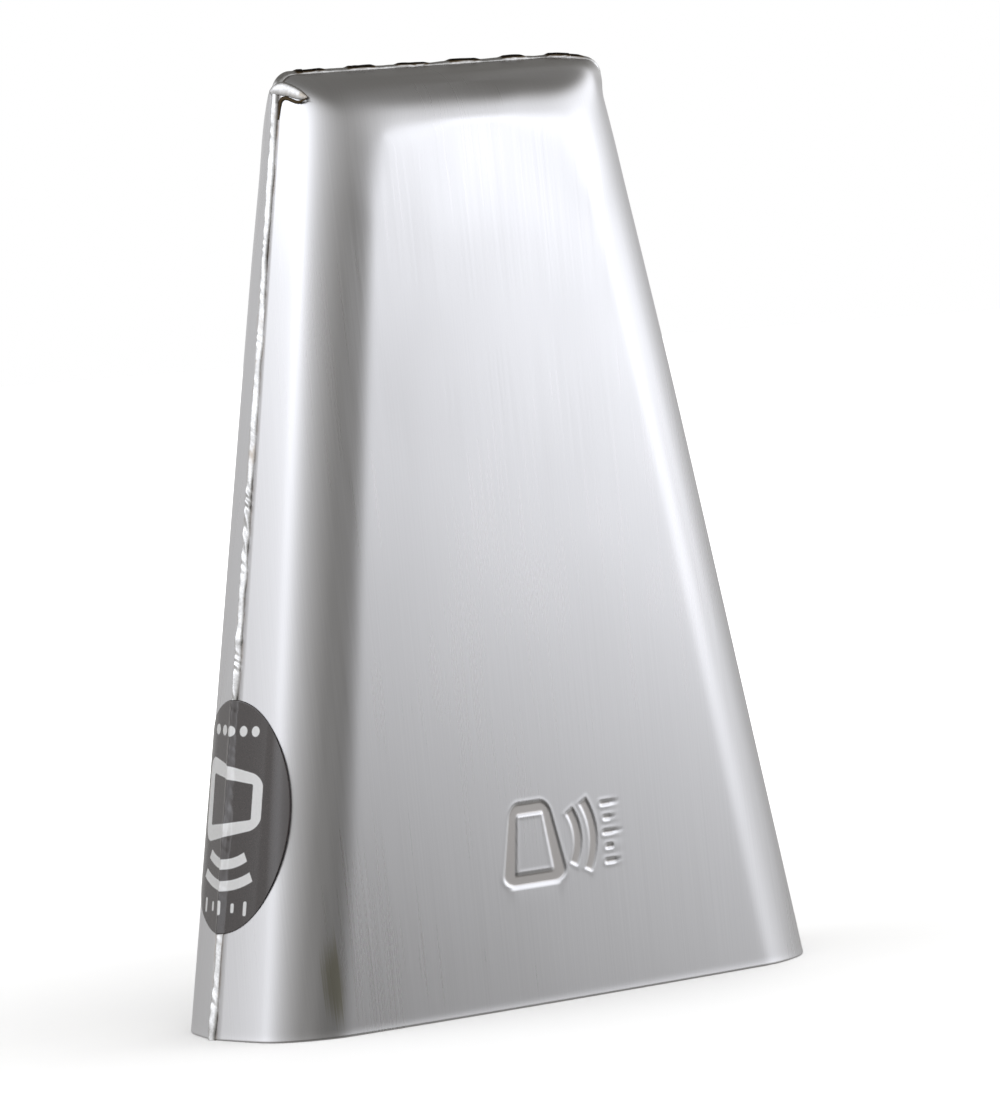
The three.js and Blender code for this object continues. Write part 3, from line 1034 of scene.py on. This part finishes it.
right_corner = bead_piece(
    "right_corner_bead", corner_path(1), CORNER_LENGTH, RIGHT_CORNER_SEED, RIGHT_CORNER,
    CORNER_HALF_SPAN, scale=right_corner_scale
)
place(right_corner, "weld_bead", "right_corner_weld")
left_corner = bead_piece(
    "left_corner_bead", corner_path(-1), CORNER_LENGTH, LEFT_CORNER_SEED, LEFT_CORNER,
    CORNER_HALF_SPAN, scale=left_corner_scale
)
place(left_corner, "weld_bead", "left_corner_weld")
place(corner_lap("left_corner_lap"), "weld_bead")

label = label_piece("side_film", film)
place(label, "label_print", "side_label")


# ---------------------------------------------------------------- stage, light, camera
def stage_floor():
    """A pale floor that fades to white away from the bell."""
    bpy.ops.mesh.primitive_circle_add(vertices=96, radius=4.0, fill_type="NGON")
    floor = bpy.context.object
    floor.name = "floor"
    n = Nodes("floor_paint")
    coordinates = n.add("ShaderNodeTexCoord").outputs["Object"]
    distance = n.add("ShaderNodeVectorMath", {0: coordinates}, operation="LENGTH").outputs["Value"]
    fade = n.span(distance, 0.10, 0.6, 0.0, 1.0, True)
    grain = n.noise((40, 40, 40), 2, 0.5)
    paint = n.mix(grain, (0.92, 0.92, 0.92, 1), (0.94, 0.94, 0.94, 1))
    n.finish(Base_Color=paint, Roughness=0.7, Emission_Color=(1, 1, 1, 1), Emission_Strength=fade)
    floor.data.materials.append(n.material)
    floor.visible_glossy = False


stage_floor()


# Light from each side, by azimuth in degrees: 0 is in front of the striking face, -90 is
# to the left and 90 to the right. Rows from just below the horizon to well above it.
LOW_LIGHT = [(-180, 0.55), (-125, 0.5), (-112, 0.65), (-106, 0.9), (-96, 0.95), (-90, 0.52), (-75, 0.40)]
LOW_LIGHT += [(-60, 0.30), (-35, 0.11), (-15, 0.03), (5, 0.02), (15, 0.04), (22, 0.09), (30, 0.155)]
LOW_LIGHT += [(38, 0.42), (50, 0.95), (62, 0.75), (80, 0.5), (140, 0.5), (180, 0.55)]
LEVEL_LIGHT = [(-180, 0.76), (-166, 0.70), (-130, 0.68), (-114, 0.72), (-108, 1.2), (-102, 1.5)]
LEVEL_LIGHT += [(-95, 1.65), (-88, 1.25), (-75, 0.92), (-60, 0.64), (-40, 0.45), (-20, 0.28)]
LEVEL_LIGHT += [(-5, 0.18), (2, 0.16)]
LEVEL_LIGHT += [(10, 0.45), (18, 1.1), (22, 1.9), (34, 2.5), (48, 2.7), (60, 2.05), (75, 1.25)]
LEVEL_LIGHT += [(95, 0.8), (120, 0.6), (150, 0.9), (165, 0.85), (180, 0.76)]
HIGH_LIGHT = [(-180, 0.3), (-166, 0.4), (-138, 1.0), (-120, 2.2), (-108, 2.6), (-102, 2.7), (-95, 2.7)]
HIGH_LIGHT += [(-87, 1.7), (-70, 1.0), (-50, 0.7), (-30, 0.46), (-6, 0.4), (10, 0.6), (26, 0.85)]
HIGH_LIGHT += [(45, 1.6), (65, 1.6), (85, 1.7), (110, 1.3), (125, 0.5), (140, 0.14), (180, 0.3)]
CEILING_LIGHT = 0.2
GROUND_LIGHT = 0.3
# Ramps and blends hold the light as shares of this, so that they stay between 0 and 1.
LIGHT_SCALE = 4.0


def world_light():
    """A soft studio round the bell, given by direction: bright to the left and to the front
    right, dimmer behind, dark in front and overhead, and dim below. The camera itself sees
    plain white."""
    world = bpy.data.worlds.new("studio")
    bpy.context.scene.world = world
    world.use_nodes = True
    tree = world.node_tree
    tree.nodes.clear()

    def add(kind, inputs=(), **settings):
        return add_node(tree, kind, inputs, **settings)

    def work_out(operation, a, b=0.0):
        return add("ShaderNodeMath", {0: a, 1: b}, operation=operation).outputs[0]

    def ramp(position, stops):
        """The light by azimuth. A position of 0 to 1 runs from -180 to 180 degrees."""
        node = add("ShaderNodeValToRGB", {"Fac": position})
        elements = node.color_ramp.elements
        for degrees, _ in stops[1:-1]:
            elements.new(degrees / 360 + 0.5)
        for element, (_, value) in zip(elements, stops):
            element.color = (value / LIGHT_SCALE,) * 3 + (1,)
        return node.outputs[0]

    def blend(factor, a, b):
        return add("ShaderNodeMix", {0: factor, 2: a, 3: b}, data_type="FLOAT").outputs[0]

    def band(value, low, high):
        inputs = {"Value": value, "From Min": math.radians(low), "From Max": math.radians(high)}
        return add("ShaderNodeMapRange", inputs, interpolation_type="SMOOTHSTEP").outputs[0]

    direction = add("ShaderNodeTexCoord").outputs["Generated"]
    unit = add("ShaderNodeVectorMath", {0: direction}, operation="NORMALIZE").outputs[0]
    x, y, z = add("ShaderNodeSeparateXYZ", {0: unit}).outputs
    azimuth = work_out("ARCTAN2", x, work_out("MULTIPLY", y, -1.0))
    position = work_out("ADD", work_out("DIVIDE", azimuth, 2 * math.pi), 0.5)
    elevation = work_out("ARCSINE", z)

    light = blend(band(elevation, -6, 6), ramp(position, LOW_LIGHT), ramp(position, LEVEL_LIGHT))
    light = blend(band(elevation, 7, 18), light, ramp(position, HIGH_LIGHT))
    light = blend(band(elevation, 21, 50), light, CEILING_LIGHT / LIGHT_SCALE)
    light = blend(band(elevation, -15, -50), light, GROUND_LIGHT / LIGHT_SCALE)
    # Dim light is a little warm and bright light a little cool.
    red = work_out("MULTIPLY", work_out("POWER", light, 0.98), 0.970)
    blue = work_out("MULTIPLY", work_out("POWER", light, 1.045), 1.075)
    tinted = add("ShaderNodeCombineColor", {0: red, 1: light, 2: blue}).outputs[0]
    seen = add("ShaderNodeLightPath").outputs["Is Camera Ray"]
    white = (1 / LIGHT_SCALE,) * 3 + (1,)
    shown = add("ShaderNodeMix", {0: seen, 6: tinted, 7: white}, data_type="RGBA").outputs[2]
    background = add("ShaderNodeBackground", {"Color": shown, "Strength": LIGHT_SCALE})
    output = add("ShaderNodeOutputWorld")
    tree.links.new(background.outputs[0], output.inputs[0])


world_light()


def overhead_lamp():
    """A broad lamp above the bell, which lights the floor and isn't mirrored in the steel."""
    lamp = bpy.data.lights.new("overhead", "AREA")
    lamp.shape = "RECTANGLE"
    lamp.size = 1.6
    lamp.size_y = 1.6
    lamp.energy = 26
    lamp_place = Vector((0.1, -0.2, 1.6))
    aim = Vector((0, 0, 0.05))
    box = bpy.data.objects.new("overhead", lamp)
    box.location = lamp_place
    box.rotation_euler = (aim - lamp_place).to_track_quat("-Z", "Y").to_euler()
    box.visible_camera = False
    box.visible_glossy = False
    bpy.context.scene.collection.objects.link(box)


overhead_lamp()


def add_camera():
    """A long lens, turned 30 degrees to the bell's left, a little above its middle. The
    camera leans a few degrees, so that the bell's left edge stands nearly upright."""
    azimuth = math.radians(-30)
    elevation = math.radians(4.228)
    roll = math.radians(-4.455)
    distance = 1.18252
    target = Vector((0.006618, 0, 0.098317))
    back = Vector((
        math.sin(azimuth) * math.cos(elevation),
        -math.cos(azimuth) * math.cos(elevation),
        math.sin(elevation),
    ))
    level = Vector((math.cos(azimuth), math.sin(azimuth), 0))
    upright = back.cross(level)
    right = level * math.cos(roll) + upright * math.sin(roll)
    up = upright * math.cos(roll) - level * math.sin(roll)
    data = bpy.data.cameras.new("camera")
    data.lens = 173.55
    data.sensor_width = 36
    data.clip_start = 0.05
    data.clip_end = 30
    camera = bpy.data.objects.new("camera", data)
    turn = Matrix((right, up, back)).transposed().to_4x4()
    camera.matrix_world = Matrix.Translation(target + back * distance) @ turn
    bpy.context.scene.collection.objects.link(camera)
    bpy.context.scene.camera = camera


add_camera()
bpy.context.scene.view_settings.view_transform = "Standard"
bpy.context.scene.view_settings.look = "None"
